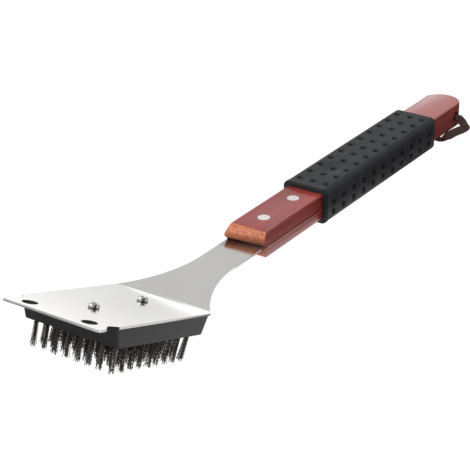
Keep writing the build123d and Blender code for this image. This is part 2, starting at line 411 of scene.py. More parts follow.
@dataclass(frozen=True)
class Plating:
    """Bright metal for small turned or pressed pieces."""

    name: str
    light: Colour
    dark: Colour
    roughness: float = 0.2
    grain: float = 1.2

    def material(self, frame: ToolFrame) -> bpy.types.Material:
        """A slightly uneven bright surface."""
        shader = Shader(f"{self.name}_finish")
        here = shader.place(frame.to_rest)
        patches = shader.noise(here, self.grain, 3.0, 0.6)
        base = shader.mix(patches, self.dark, self.light)
        normal = shader.relief(patches, 0.01, 0.3)
        rough = self.roughness + patches * 0.12
        return shader.finish(Base_Color=base, Metallic=1.0, Roughness=rough, Normal=normal)


@dataclass(frozen=True)
class TurnedAluminium:
    """A rivet's end, faced off flush with the wood."""

    name: str
    centre: Triple
    light: Colour = srgb("F7F5F3")
    dark: Colour = srgb("E6E2E0")
    outline: Colour = srgb("8D8583")
    rim: Pair = (3.75, 4.2)
    rings: float = 19.0

    def material(self, frame: ToolFrame) -> bpy.types.Material:
        """Fine rings about the rivet's axis, with a darker outline."""
        shader = Shader(f"{self.name}_finish")
        here = shader.place(frame.to_rest @ Matrix.Translation(self.centre))
        x, y, _ = shader.split(here)
        radius = distance(x, y)
        rings = (radius * self.rings).wave() * 0.5 + 0.5
        patches = shader.noise(here, 0.9, 3.0)
        rim = radius.step(*self.rim)
        tone = shader.mix(rings * 0.4 + patches * 0.6, self.dark, self.light)
        base = shader.mix(rim * 0.45, tone, self.outline)
        normal = shader.relief(rings, 0.008, 0.3)
        rough = 0.34 + patches * 0.12
        return shader.finish(Base_Color=base, Metallic=0.65, Roughness=rough, Normal=normal)


@dataclass(frozen=True)
class MouldedPlastic:
    """Dark filled plastic with a fine matt skin."""

    name: str = "block_plastic"
    light: Colour = srgb("303031")
    dark: Colour = srgb("1F1F21")

    def material(self, frame: ToolFrame) -> bpy.types.Material:
        """Matt skin with faint flow streaks and a soft gloss."""
        shader = Shader(f"{self.name}_finish")
        here = shader.place(frame.head)
        skin = shader.noise(here, 6.0, 3.0, 0.6)
        flow = shader.grain(here, (0.05, 0.2, 0.4), 3.0)
        base = shader.mix(skin * 0.4 + flow * 0.6, self.dark, self.light)
        normal = shader.relief(skin, 0.03, 0.4)
        return shader.finish(Base_Color=base, Roughness=0.42 + flow * 0.12, Normal=normal)


@dataclass(frozen=True)
class CrimpedWire:
    """Hard drawn steel wire; each wire has its own tone."""

    name: str = "bristle_wire"
    light: Colour = srgb("B3A99E")
    dark: Colour = srgb("241E1A")
    crimps: float = 3.4
    scatter: float = 61.0

    def material(self, frame: ToolFrame) -> bpy.types.Material:
        """Grey wire, some brighter, some browned, with painted glints along the crimps."""
        shader = Shader(f"{self.name}_finish")
        here = shader.place(frame.head)
        tone = shader.attribute("tone")
        _, _, z = shader.split(here)
        crimps = (z * self.crimps + tone * self.scatter).wave()
        # painted highlights: bright beads along each wire, where its crimps would catch the light
        painted_crimp_glints = (crimps * 0.5 + 0.5).step(0.35, 0.8)
        spots = shader.noise(here, 1.6, 2.0)
        base = shader.mix((tone * 0.5 + spots * 0.2) * (painted_crimp_glints * 1.2 + 0.3), self.dark, self.light)
        return shader.finish(Base_Color=base, Metallic=0.85, Roughness=0.34 + spots * 0.15)


@dataclass(frozen=True)
class VarnishedWood:
    """Red hardwood under varnish, with open grain along the handle."""

    name: str = "handle_wood"
    light: Colour = srgb("B8402F")
    middle: Colour = srgb("982824")
    dark: Colour = srgb("5C1618")
    pale: Colour = srgb("E0786A")
    painted_rim_highlight: Colour = srgb("F0B08C")
    end_light: Colour = srgb("E2875A")
    end_dark: Colour = srgb("A4502F")
    end_deep: Colour = srgb("6A3526")
    front: float = 89.3
    skew: float = 0.217
    skew_back: float = 0.3
    painted_sheen_along: Pair = (150.0, 345.0)
    rim_highlight_along: Pair = (190.0, 110.0)
    slot_rim: tuple[Pair, Pair] = ((-2.5, -2.2), (-1.3, -1.45))
    shaded: tuple[Pair, Pair] = ((5.2, 0.2), (-1.6, -1.4))
    bevels_to: Pair = (3.6, 3.2)
    end_to: Pair = (7.0, 6.5)
    bevel_run: float = 5.2
    bevel_drop: float = 4.2
    top: float = 9.7
    bottom: float = -8.6
    half_width: float = 13.8

    def _end_mask(self, x: Wire, y: Wire, z: Wire) -> Wire:
        """1 on the front end and its two bevels, where the grain is cut across."""
        slope = self.bevel_run / self.bevel_drop
        skewed = x - self.front - self.skew_back + y * self.skew
        over_top = skewed - (z - (self.top - self.bevel_drop)).most(0.0) * slope
        over_bottom = skewed + (z - (self.bottom + self.bevel_drop)).least(0.0) * slope
        across = abs(y).step(self.half_width - 0.02, self.half_width - 0.06)
        below_top = z.step(self.top - 0.04, self.top - 0.12)
        bevels = over_top.least(over_bottom).step(*self.bevels_to)
        return bevels * across * below_top * (x - self.front).step(*self.end_to)

    def material(self, frame: ToolFrame) -> bpy.types.Material:
        """Long figure, short dark pores, end grain at the front, a clear varnish, and painted shade,
        highlight and sheen.
        """
        shader = Shader(f"{self.name}_finish")
        here = shader.place(frame.to_rest)
        x, y, z = shader.split(here)
        figure = shader.grain(here, (0.011, 0.16, 0.22), 4.0, 0.55, 0.6)
        streaks = shader.grain(here, (0.03, 1.3, 1.3), 3.0, 0.6)
        pores = shader.grain(here, (0.14, 3.4, 3.4), 2.0, 0.5).step(0.60, 0.72)
        stops = [(0.3, self.dark), (0.5, self.middle), (0.74, self.light)]
        tone = figure * 0.65 + streaks * 0.35
        long_grain = shader.node("ShaderNodeValToRGB", {"stops": stops}, {0: tone})
        # painted reflection: the wood grows paler towards the rear, for the varnish's sheen of the
        # white surroundings
        long_grain = shader.mix(x.step(*self.painted_sheen_along) * 0.14, long_grain, self.pale)
        sides = shader.mix(pores * 0.4, long_grain, self.dark)
        blotches = shader.grain(here, (0.35, 0.5, 0.8), 4.0, 0.7, 0.8).step(0.3, 0.7)
        specks = shader.cells(shader.stretch(here, 0.6, 1.6, 1.6), 1.0).step(0.34, 0.12)
        cut = shader.mix(blotches, self.end_dark, self.end_light)
        cut = shader.mix(specks * 0.35, cut, self.end_deep)
        # painted shade: the front end goes deep brown low down, over the tang and in the undercut
        undercut = z.step(*self.shaded[0]) * z.step(*self.shaded[1])
        cut = shader.mix(undercut, cut, self.end_deep)
        mask = self._end_mask(x, y, z)
        # painted highlight: a pale line along the lower half's slot rim, strongest towards the front
        rim = z.step(*self.slot_rim[0]) * z.step(*self.slot_rim[1])
        painted_rim_highlight = rim * x.step(*self.rim_highlight_along) * 0.7
        base = shader.mix(mask, shader.mix(painted_rim_highlight, sides, self.painted_rim_highlight), cut)
        coat = 0.85 - mask * 0.65 - pores * 0.15  # the cut end has soaked up its varnish
        rough = 0.42 + streaks * 0.1 + mask * 0.25
        normal = shader.relief(streaks * 0.5 - pores * 0.5 + blotches * mask, 0.06, 0.4)
        varnish = {"Coat_Weight": coat, "Coat_Roughness": 0.12, "Coat_IOR": 1.5}
        return shader.finish(Base_Color=base, Roughness=rough, Normal=normal, **varnish)


@dataclass(frozen=True)
class Rubber:
    """Soft black moulded rubber with a bloom, painted floor sheen and painted shade."""

    name: str = "grip_rubber"
    light: Colour = srgb("38393C")
    dark: Colour = srgb("222326")
    painted_sheen_grey: Colour = srgb("77777A")
    painted_hollow_shade: Colour = srgb("070708")
    sheen_below: Pair = (3.0, -9.0)
    sheen_beside: Pair = (-15.5, -17.0)
    front_painted_shade: Pair = (165.6, 164.8)
    rear_painted_shade: Pair = (318.4, 319.2)

    def material(self, frame: ToolFrame) -> bpy.types.Material:
        """A matt, finely pitted skin; painted floor sheen in patches low on the near side, and painted
        shade.
        """
        shader = Shader(f"{self.name}_finish")
        here = shader.place(frame.to_rest)
        skin = shader.noise(here, 4.5, 3.0, 0.65)
        bloom = shader.noise(here, 0.09, 4.0, 0.65).step(0.3, 0.7)
        sunk = shader.attribute("sunk")
        tone = shader.mix(skin * 0.3 + bloom * 0.7, self.dark, self.light)
        x, y, z = shader.split(here)
        # painted reflection: the near side grows paler grey towards the bottom, in patches, for the
        # white floor's light
        painted_floor_sheen = z.step(*self.sheen_below) * y.step(*self.sheen_beside) * (bloom * 0.6 + 0.4)
        # painted shadow: dark bands at the sleeve's two open ends
        mouth = x.step(*self.front_painted_shade).most(x.step(*self.rear_painted_shade))
        base = shader.mix(painted_floor_sheen * 0.5, tone, self.painted_sheen_grey)
        # painted shade: near black in the dimples and at the two ends
        base = shader.mix((sunk * 0.85).most(mouth * 0.7), base, self.painted_hollow_shade)
        normal = shader.relief(skin, 0.05, 0.4)
        matt = {"Roughness": 0.6 + bloom * 0.1, "Specular_IOR_Level": 0.3}
        return shader.finish(Base_Color=base, Normal=normal, **matt)


@dataclass(frozen=True)
class Leather:
    """Dark brown leather with raw edges."""

    name: str = "strap_leather"
    light: Colour = srgb("7A5342")
    dark: Colour = srgb("2C1710")
    edge: Colour = srgb("2E1B16")
    rim: Pair = (0.55, 0.95)

    def material(self, frame: ToolFrame) -> bpy.types.Material:
        """Pebbled grain, rubbed patches and cut edges of their own tone."""
        shader = Shader(f"{self.name}_finish")
        here = shader.place(frame.to_rest)
        pebbles = shader.cells(here, 1.7)
        creases = shader.noise(here, 0.5, 4.0, 0.65)
        rim = shader.attribute("rim").step(*self.rim)
        base = shader.mix((creases * 1.5 - 0.3).most(0.0).least(1.0), self.dark, self.light)
        base = shader.mix(rim * 0.5, base, self.edge)
        base = shader.mix(pebbles.step(0.2, 0.6) * 0.35, base, self.dark)
        normal = shader.relief(pebbles * -0.6 + creases, 0.12, 0.6)
        return shader.finish(Base_Color=base, Roughness=0.5 + creases * 0.2, Normal=normal)


def coat(material: bpy.types.Material, *pieces: Piece) -> None:
    """Gives pieces one material in place of their own."""
    for piece in pieces:
        piece.data.materials.clear()
        piece.data.materials.append(material)


class Finish(Enum):
    """The tool's finishes that need no place of their own, named after the record's slots."""

    STEEL = SheetSteel()
    PLASTIC = MouldedPlastic()
    WIRE = CrimpedWire()
    WOOD = VarnishedWood()
    RUBBER = Rubber()
    LEATHER = Leather()
    ANCHOR = Plating("anchor_steel", srgb("A8A5A0"), srgb("7A7772"), 0.35)
    SCREW = ScrewPlating()

    def paint(self, frame: ToolFrame, *pieces: Piece) -> None:
        """Gives pieces this finish, made once."""
        made = bpy.data.materials.get(f"{self.value.name}_finish")
        coat(made or self.value.material(frame), *pieces)


# --- modelling


class Part(Enum):
    """What an edit works on."""

    VERT = "verts"
    EDGE = "edges"
    FACE = "faces"


def anything(_: Any) -> bool:
    """Passes every part of a mesh."""
    return True


def faces_down(face: bmesh.types.BMFace) -> bool:
    """Whether a face looks down."""
    return face.normal.z < -0.9


class Bench:
    """Adds, selects and shapes meshes with Blender's own operators."""

    @staticmethod
    def clear() -> None:
        """Leaves nothing selected."""
        if bpy.context.object and bpy.context.object.mode != "OBJECT":
            bpy.ops.object.mode_set(mode="OBJECT")
        bpy.ops.object.select_all(action="DESELECT")

    @classmethod
    def only(cls, *pieces: Piece) -> None:
        """Selects just these pieces, with the first one active."""
        cls.clear()
        for piece in pieces:
            piece.select_set(True)
        bpy.context.view_layer.objects.active = pieces[0]

    @staticmethod
    def new(name: str, data: bpy.types.ID) -> Piece:
        """A new object of the scene, round this data."""
        made = bpy.data.objects.new(name, data)
        bpy.context.scene.collection.objects.link(made)
        return made

    @staticmethod
    def store(mesh: bpy.types.Mesh, name: str, values: Sequence[float]) -> None:
        """Stores a number for each vertex."""
        mesh.attributes.new(name, "FLOAT", "POINT").data.foreach_set("value", values)

    @classmethod
    def started(cls, name: str) -> Piece:
        """The primitive just added, named, with its place in its mesh."""
        made = bpy.context.object
        made.name = made.data.name = name
        bpy.ops.object.transform_apply(location=True, rotation=True, scale=True)
        return made

    @classmethod
    def box(cls, name: str, low: Sequence[float], high: Sequence[float]) -> Piece:
        """A box between two corners."""
        cls.clear()
        low, high = Vector(low), Vector(high)
        bpy.ops.mesh.primitive_cube_add(size=1, location=(low + high) / 2, scale=high - low)
        return cls.started(name)

    @classmethod
    def drum(
        cls, name: str, radius: float, height: float, base: Sequence[float], sides: int
    ) -> Piece:
        """An upright cylinder on its base's middle."""
        cls.clear()
        middle = Vector(base) + Vector((0, 0, height / 2))
        size = {"vertices": sides, "radius": radius, "depth": height}
        bpy.ops.mesh.primitive_cylinder_add(location=middle, **size)
        return cls.started(name)

    @classmethod
    def pick(cls, piece: Piece, part: Part, test: Test) -> None:
        """Selects the parts of a mesh that pass a test, in edit mode."""
        if bpy.context.object is not piece or piece.mode != "EDIT":
            cls.only(piece)
            bpy.ops.object.mode_set(mode="EDIT")
        bpy.ops.mesh.select_mode(type=part.name)
        bpy.ops.mesh.select_all(action="DESELECT")
        shape = bmesh.from_edit_mesh(piece.data)
        for item in getattr(shape, part.value):
            if test(item):
                item.select_set(True)
        shape.select_flush_mode()
        bmesh.update_edit_mesh(piece.data)

    @classmethod
    def shift(cls, piece: Piece, test: Test, *offset: float) -> None:
        """Moves the vertices that pass a test."""
        cls.pick(piece, Part.VERT, test)
        bpy.ops.transform.translate(value=offset)

    @classmethod
    def bevel(cls, piece: Piece, test: Test, width: float, segments: int) -> None:
        """Bevels the edges that pass a test."""
        cls.pick(piece, Part.EDGE, test)
        bpy.ops.mesh.bevel(offset=width, segments=segments)

    @classmethod
    def narrow(cls, piece: Piece, *shares: float) -> None:
        """Scales the faces that look down."""
        cls.pick(piece, Part.FACE, faces_down)
        bpy.ops.transform.resize(value=shares)

    @classmethod
    def join(cls, name: str, pieces: Sequence[Piece]) -> Piece:
        """Several pieces as one."""
        cls.only(*pieces)
        bpy.ops.object.join()
        joined = bpy.context.object
        joined.name = joined.data.name = name
        return joined

    @classmethod
    def copy(cls, piece: Piece, matrix: Matrix) -> Piece:
        """A copy with a mesh of its own, moved by a matrix."""
        twin = cls.new(piece.name, piece.data.copy())
        twin.data.transform(matrix)
        return twin

    @classmethod
    def merged(cls, name: str, solid: Piece, matrix: Matrix) -> Piece:
        """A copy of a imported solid, drawn in a frame of the tool, its loose triangles joined."""
        twin = cls.copy(solid, matrix.inverted() @ solid.matrix_world)
        twin.name = twin.data.name = name
        cls.pick(twin, Part.VERT, anything)
        bpy.ops.mesh.remove_doubles(threshold=SAME_PLACE)
        bpy.ops.mesh.select_all(action="SELECT")
        bpy.ops.mesh.dissolve_limited(angle_limit=SAME_PLANE)
        return twin

    @classmethod
    def modify(cls, piece: Piece, kind: str, **settings: Any) -> None:
        """Adds a modifier and applies it."""
        cls.only(piece)
        made = piece.modifiers.new(kind.title(), kind)
        for key, value in settings.items():
            setattr(made, key, value)
        bpy.ops.object.modifier_apply(modifier=made.name)

    @classmethod
    def cut(cls, piece: Piece, cutter: Piece) -> None:
        """Takes a cutter away from a piece."""
        cls.modify(piece, "BOOLEAN", operation="DIFFERENCE", solver="EXACT", object=cutter)
        bpy.data.objects.remove(cutter)


@dataclass
class Maker:
    """Models pieces of the tool, in millimetres, in one of the frames of its ToolFrame."""

    frame: ToolFrame

    def settle(
        self,
        piece: Piece,
        place: Matrix,
        finish: Finish,
        crease: float,
        *nodes: str,
        body: str = "brush",
    ) -> Piece:
        """Finishes a piece and puts it in the model, on its body, in place of its CAD nodes.

        Args:
            piece: the piece, drawn in one of the tool's frames.
            place: that frame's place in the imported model.
            finish: the finish, which names the record's material slot too.
            crease: the angle in degrees from which an edge stays sharp.
            *nodes: the CAD nodes that it stands for.
            body: the body that it rides on.

        Returns:
            The finished piece.
        """
        Bench.only(piece)
        bpy.ops.object.shade_smooth_by_angle(angle=math.radians(crease))
        finish.paint(self.frame, piece)
        piece.data.transform(place)
        piece.data.update()
        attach(piece, body)
        if nodes:
            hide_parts(*nodes)
        LOG.info("%s: %d faces", piece.name, len(piece.data.polygons))
        return piece


# --- blade


@dataclass
class Blade(Maker):
    """The bent sheet, the mouths of its lip's notches opened wide."""

    mouth_at: float = 13.3
    mouth_out: float = 39.1
    mouth_radius: float = 7.1
    mouth_low: float = -4.0
    mouth_height: float = 6.0

    def build(self, solid: Piece) -> Piece:
        """Opens the notches of the plain solid.

        Args:
            solid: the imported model's blade.

        Returns:
            The finished piece.
        """
        blade = Bench.merged("bent_blade", solid, self.frame.head)
        for side in (-1, 1):
            foot = (self.mouth_at, side * self.mouth_out, self.mouth_low)
            Bench.cut(blade, Bench.drum("mouth", self.mouth_radius, self.mouth_height, foot, 64))
        return self.settle(blade, self.frame.head, Finish.STEEL, 28, "blade")


# --- brush


@dataclass(frozen=True)
class TuftLayout:
    """Where the tufts stand under the head."""

    per_row: int = 8
    first: float = 28.0
    row_pitch: float = 9.15
    pitch: float = 8.2
    underside: float = -13.5

    def row(self, number: int) -> list[Vector]:
        """The tufts' places on the block's underside, in one row from 0."""
        x = self.first + number * self.row_pitch
        middle = (self.per_row - 1) / 2
        return [Vector((x, (i - middle) * self.pitch, self.underside)) for i in range(self.per_row)]


@dataclass
class BrushBlock(Maker):
    """The moulded block that holds the tufts."""

    front: float = 18.0
    rear: float = 111.8
    width: float = 70.0
    top: float = -1.5
    underside: float = -13.5
    front_inset: float = 4.9
    rear_inset: float = 2.4
    side_inset: float = 1.2
    corner: float = 1.6
    edge: float = 0.55
    hole: float = 1.7
    hole_depth: float = 4.0
    sink: float = 0.6
    sink_share: float = 1.5

    def build(self, layout: TuftLayout) -> Piece:
        """Models the block.

        Args:
            layout: where the tufts stand.

        Returns:
            The finished piece.
        """
        half = self.width / 2
        block = Bench.box("block", (self.front, -half, self.underside), (self.rear, half, self.top))
        self._taper(block)
        Bench.bevel(block, self._is_corner, self.corner, 5)
        Bench.bevel(block, self._is_rim, self.edge, 3)
        Bench.cut(block, self._holes(layout))
        return self.settle(block, self.frame.head, Finish.PLASTIC, 32, "brush_block")

    def _is_corner(self, edge: bmesh.types.BMEdge) -> bool:
        """Whether an edge runs down a corner."""
        return abs(edge.verts[0].co.z - edge.verts[1].co.z) > 5

    def _is_rim(self, edge: bmesh.types.BMEdge) -> bool:
        """Whether an edge runs round the underside."""
        return all(v.co.z < self.underside + 0.01 for v in edge.verts)

    def _taper(self, block: Piece) -> None:
        """Draws the underside in from the front, the rear and the sides."""
        length = self.rear - self.front
        low = length - self.front_inset - self.rear_inset
        Bench.narrow(block, low / length, 1 - 2 * self.side_inset / self.width, 1)
        bpy.ops.transform.translate(value=((self.front_inset - self.rear_inset) / 2, 0, 0))

    def _holes(self, layout: TuftLayout) -> Piece:
        """One cutter for all the tuft holes, with their countersunk mouths."""
        hole = Bench.drum("tuft_hole", self.hole, self.hole_depth + self.sink, (0, 0, -self.sink), 14)
        Bench.narrow(hole, self.sink_share, self.sink_share, 1)
        Bench.clear()
        places = [spot for number in range(ROWS) for spot in layout.row(number)]
        copies = [Bench.copy(hole, Matrix.Translation(spot)) for spot in places]
        bpy.data.objects.remove(hole)
        return Bench.join("tuft_holes", copies)


@dataclass
class Bristles(Maker):
    """Tufts of crimped wire, a piece for each row."""

    wires: int = 22
    gauge: float = 0.19
    sides: int = 3
    length: float = 17.0
    root: float = 3.0
    crimp: float = 0.3
    crimp_pitch: float = 2.2
    bundle: float = 1.3
    spread: float = 0.6
    combed: float = 0.24
    comb_rise: float = 1.3
    sway: float = 0.05
    stray: float = 0.4
    splay: Pair = (0.3, 1.4)
    tone_power: float = 1.5
    tuft_lean: float = 0.03
    wire_lean: float = 0.014
    full_share: float = 0.82
    full: Pair = (0.86, 0.985)
    short: Pair = (0.62, 0.86)
    shapes: int = 8
    seed: int = 11

    def build(self, layout: TuftLayout) -> list[Piece]:
        """Models every row.

        Args:
            layout: where the tufts stand.

        Returns:
            The rows' pieces.
        """
        chance = random.Random(self.seed)
        patterns = [self._wire(chance) for _ in range(self.shapes)]
        rows = []
        for number in range(ROWS):
            comb = -self.combed * (number / (ROWS - 1)) ** self.comb_rise
            spots = layout.row(number)
            wires = [wire for spot in spots for wire in self._tuft(patterns, spot, comb, chance)]
            row = Bench.join(f"bristles_{number + 1}", wires)
            node = f"bristle_row_{number + 1}"
            rows.append(self.settle(row, self.frame.head, Finish.WIRE, 25, node))
        for pattern in patterns:
            bpy.data.objects.remove(pattern)
        return rows

    def _wire(self, chance: random.Random) -> Piece:
        """One crimped wire, downwards from the block's underside."""
        Bench.clear()
        shape = {"vertices": self.sides, "radius": self.gauge, "fill_type": "NGON"}
        bpy.ops.mesh.primitive_circle_add(location=(0, 0, self.root), **shape)
        wire = Bench.started("wire")
        Bench.pick(wire, Part.FACE, anything)
        steps = round((self.length + self.root) * 2 / self.crimp_pitch)
        drop = (self.length + self.root) / steps
        side = chance.choice((-1, 1))
        sway = [chance.uniform(-self.sway, self.sway) for _ in range(2)]
        for number in range(steps):
            swing = side * self.crimp * (2 if 0 < number < steps - 1 else 1)
            side = -side
            move = (swing, sway[0] * number / steps, -drop + sway[1] * 0.1)
            bpy.ops.mesh.extrude_region_move(TRANSFORM_OT_translate={"value": move})
        Bench.clear()
        return wire

    def _tuft(
        self, patterns: Sequence[Piece], spot: Vector, comb: float, chance: random.Random
    ) -> list[Piece]:
        """The wires of one tuft, splayed from its hole and combed forward."""
        lean = Vector((comb + chance.gauss(0, self.tuft_lean), chance.gauss(0, self.tuft_lean), 0))
        wires = []
        for number in range(self.wires):
            angle = number * GOLDEN_ANGLE + chance.uniform(-self.stray, self.stray)
            out = math.sqrt((number + 0.5) / self.wires)
            radial = Vector((math.cos(angle), math.sin(angle), 0)) * out
            tip = radial * self.spread * chance.uniform(*self.splay) / self.length + lean
            tip += Vector((chance.gauss(0, self.wire_lean), chance.gauss(0, self.wire_lean), 0))
            share = chance.uniform(*(self.full if chance.random() < self.full_share else self.short))
            shear = Matrix.Identity(4)
            shear[0][2], shear[1][2], shear[2][2] = -tip.x, -tip.y, share
            place = Matrix.Translation(spot + radial * self.bundle) @ shear
            turned = place @ Matrix.Rotation(chance.uniform(0, math.tau), 4, "Z")
            wire = Bench.copy(chance.choice(patterns), turned)
            tone = chance.random() ** self.tone_power
            Bench.store(wire.data, "tone", [tone] * len(wire.data.vertices))
            wires.append(wire)
        return wires


@dataclass
class Screw(Maker):
    """A cross-recessed pan-head screw through the blade."""

    name: str
    node: str
    from_front: float
    turn: float
    radius: float = 3.45
    height: float = 2.7
    shank: float = 1.7
    length: float = 10.5
    dome: float = 1.5
    point: float = 0.12
    edge: float = 0.12
    recess_share: float = 0.64
    recess_thick: float = 0.42
    recess_deep: float = 1.7
    recess_taper: Pair = (0.4, 0.7)

    def build(self) -> Piece:
        """Models the screw and sets it in the head.

        Returns:
            The finished piece.
        """
        screw = Bench.drum(self.name, self.radius, self.height, (0, 0, 0), 48)
        Bench.bevel(screw, self._is_top_rim, self.dome, 7)
        Bench.pick(screw, Part.FACE, faces_down)
        bpy.ops.mesh.inset(thickness=self.radius - self.shank)
        for drop in (self.shank - self.length, -self.shank):
            bpy.ops.mesh.extrude_region_move(TRANSFORM_OT_translate={"value": (0, 0, drop)})
        bpy.ops.transform.resize(value=(self.point, self.point, 1))
        Bench.cut(screw, self._recess())
        limit = {"limit_method": "ANGLE", "angle_limit": math.radians(38)}
        Bench.modify(screw, "BEVEL", width=self.edge, segments=2, **limit)
        turned = Matrix.Rotation(self.turn, 4, "Z")
        place = self.frame.head @ Matrix.Translation((self.from_front, 0, 0)) @ turned
        return self.settle(screw, place, Finish.SCREW, 40, self.node)

    def _is_top_rim(self, edge: bmesh.types.BMEdge) -> bool:
        """Whether an edge runs round the head's top."""
        return all(v.co.z > self.height - 0.01 for v in edge.verts)

    def _recess(self) -> Piece:
        """The tapered cross that a driver fits."""
        reach, thick = self.recess_share * self.radius, self.recess_thick
        low, high = (-reach, -thick, self.height - self.recess_deep), (reach, thick, self.height + 0.5)
        wings = []
        for turn in (0, math.pi / 2):
            wing = Bench.box("wing", low, high)
            Bench.narrow(wing, *self.recess_taper, 1)
            Bench.clear()
            wings.append(Bench.copy(wing, Matrix.Rotation(turn, 4, "Z")))
            bpy.data.objects.remove(wing)
        Bench.modify(wings[0], "BOOLEAN", operation="UNION", solver="EXACT", object=wings[1])
        bpy.data.objects.remove(wings[1])
        return wings[0]


# --- handle


@dataclass
class Handle(Maker):
    """The wooden handle, its upper half sawn askew and undercut at the front."""

    front: float = 89.3
    half_width: float = 13.8
    far_forward: float = 2.7
    near_back: float = 3.3
    undercut_rise: float = 3.3
    near_rise: float = 0.5
    undercut_run: float = 3.0
    undercut_lean: float = 0.6
    sanding: float = 0.35
    slot_round: float = 0.6
    slot_floor: float = -1.54

    def build(self, solid: Piece) -> Piece:
        """Shapes the handle's front from its plain solid.

        Args:
            solid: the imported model's handle.

        Returns:
            The finished piece.
        """
        handle = Bench.merged("wooden_handle", solid, self.frame.to_rest)
        for side, move in ((1, -self.far_forward), (-1, self.near_back)):
            Bench.shift(handle, partial(self._is_corner, side), move, 0, 0)
        Bench.cut(handle, self._wedge())
        for rim, width in ((self._is_front_rim, self.sanding), (self._is_slot_rim, self.slot_round)):
            Bench.bevel(handle, rim, width, 2)
        return self.settle(handle, self.frame.to_rest, Finish.WOOD, 28, "handle")

    def _is_corner(self, side: int, vertex: bmesh.types.BMVert) -> bool:
        """Whether a vertex is in the upper half's front corner on this side."""
        x, y, z = vertex.co
        return x < self.front + 0.1 and z > -0.2 and y * side > self.half_width - 1

    def _wedge(self) -> Piece:
        """What the undercut takes away over the tang, along the skewed front."""
        far, near = self.front - self.far_forward, self.front + self.near_back
        wide, run, rise = self.half_width + 2, self.undercut_run, self.undercut_rise
        wedge = Bench.box("undercut", (far - 3, -wide, -0.02), (far + run, wide, rise))
        Bench.shift(wedge, lambda v: v.co.z > 1 and v.co.x > far, -run, 0, 0)
        Bench.shift(wedge, lambda v: v.co.y < 0, near - far, 0, 0)
        Bench.shift(wedge, lambda v: v.co.y < 0 and v.co.z > 1, 0, 0, self.near_rise - rise)
        Bench.shift(wedge, lambda v: v.co.y < 0 and v.co.z < 0, -self.undercut_lean * run, 0, 0)
        return wedge

    def _is_slot_rim(self, edge: bmesh.types.BMEdge) -> bool:
        """Whether an edge runs along the slot's lower rim, on either side."""
        low = all(abs(v.co.z - self.slot_floor) < 0.03 for v in edge.verts)
        return low and all(abs(abs(v.co.y) - self.half_width) < 0.03 for v in edge.verts)

    def _is_front_rim(self, edge: bmesh.types.BMEdge) -> bool:
        """Whether an edge is a sharp one on the handle's front end."""
        near_front = all(v.co.x < self.front + 6.5 for v in edge.verts)
        return near_front and len(edge.link_faces) == 2 and edge.calc_face_angle(0) > math.radians(25)


# --- grip


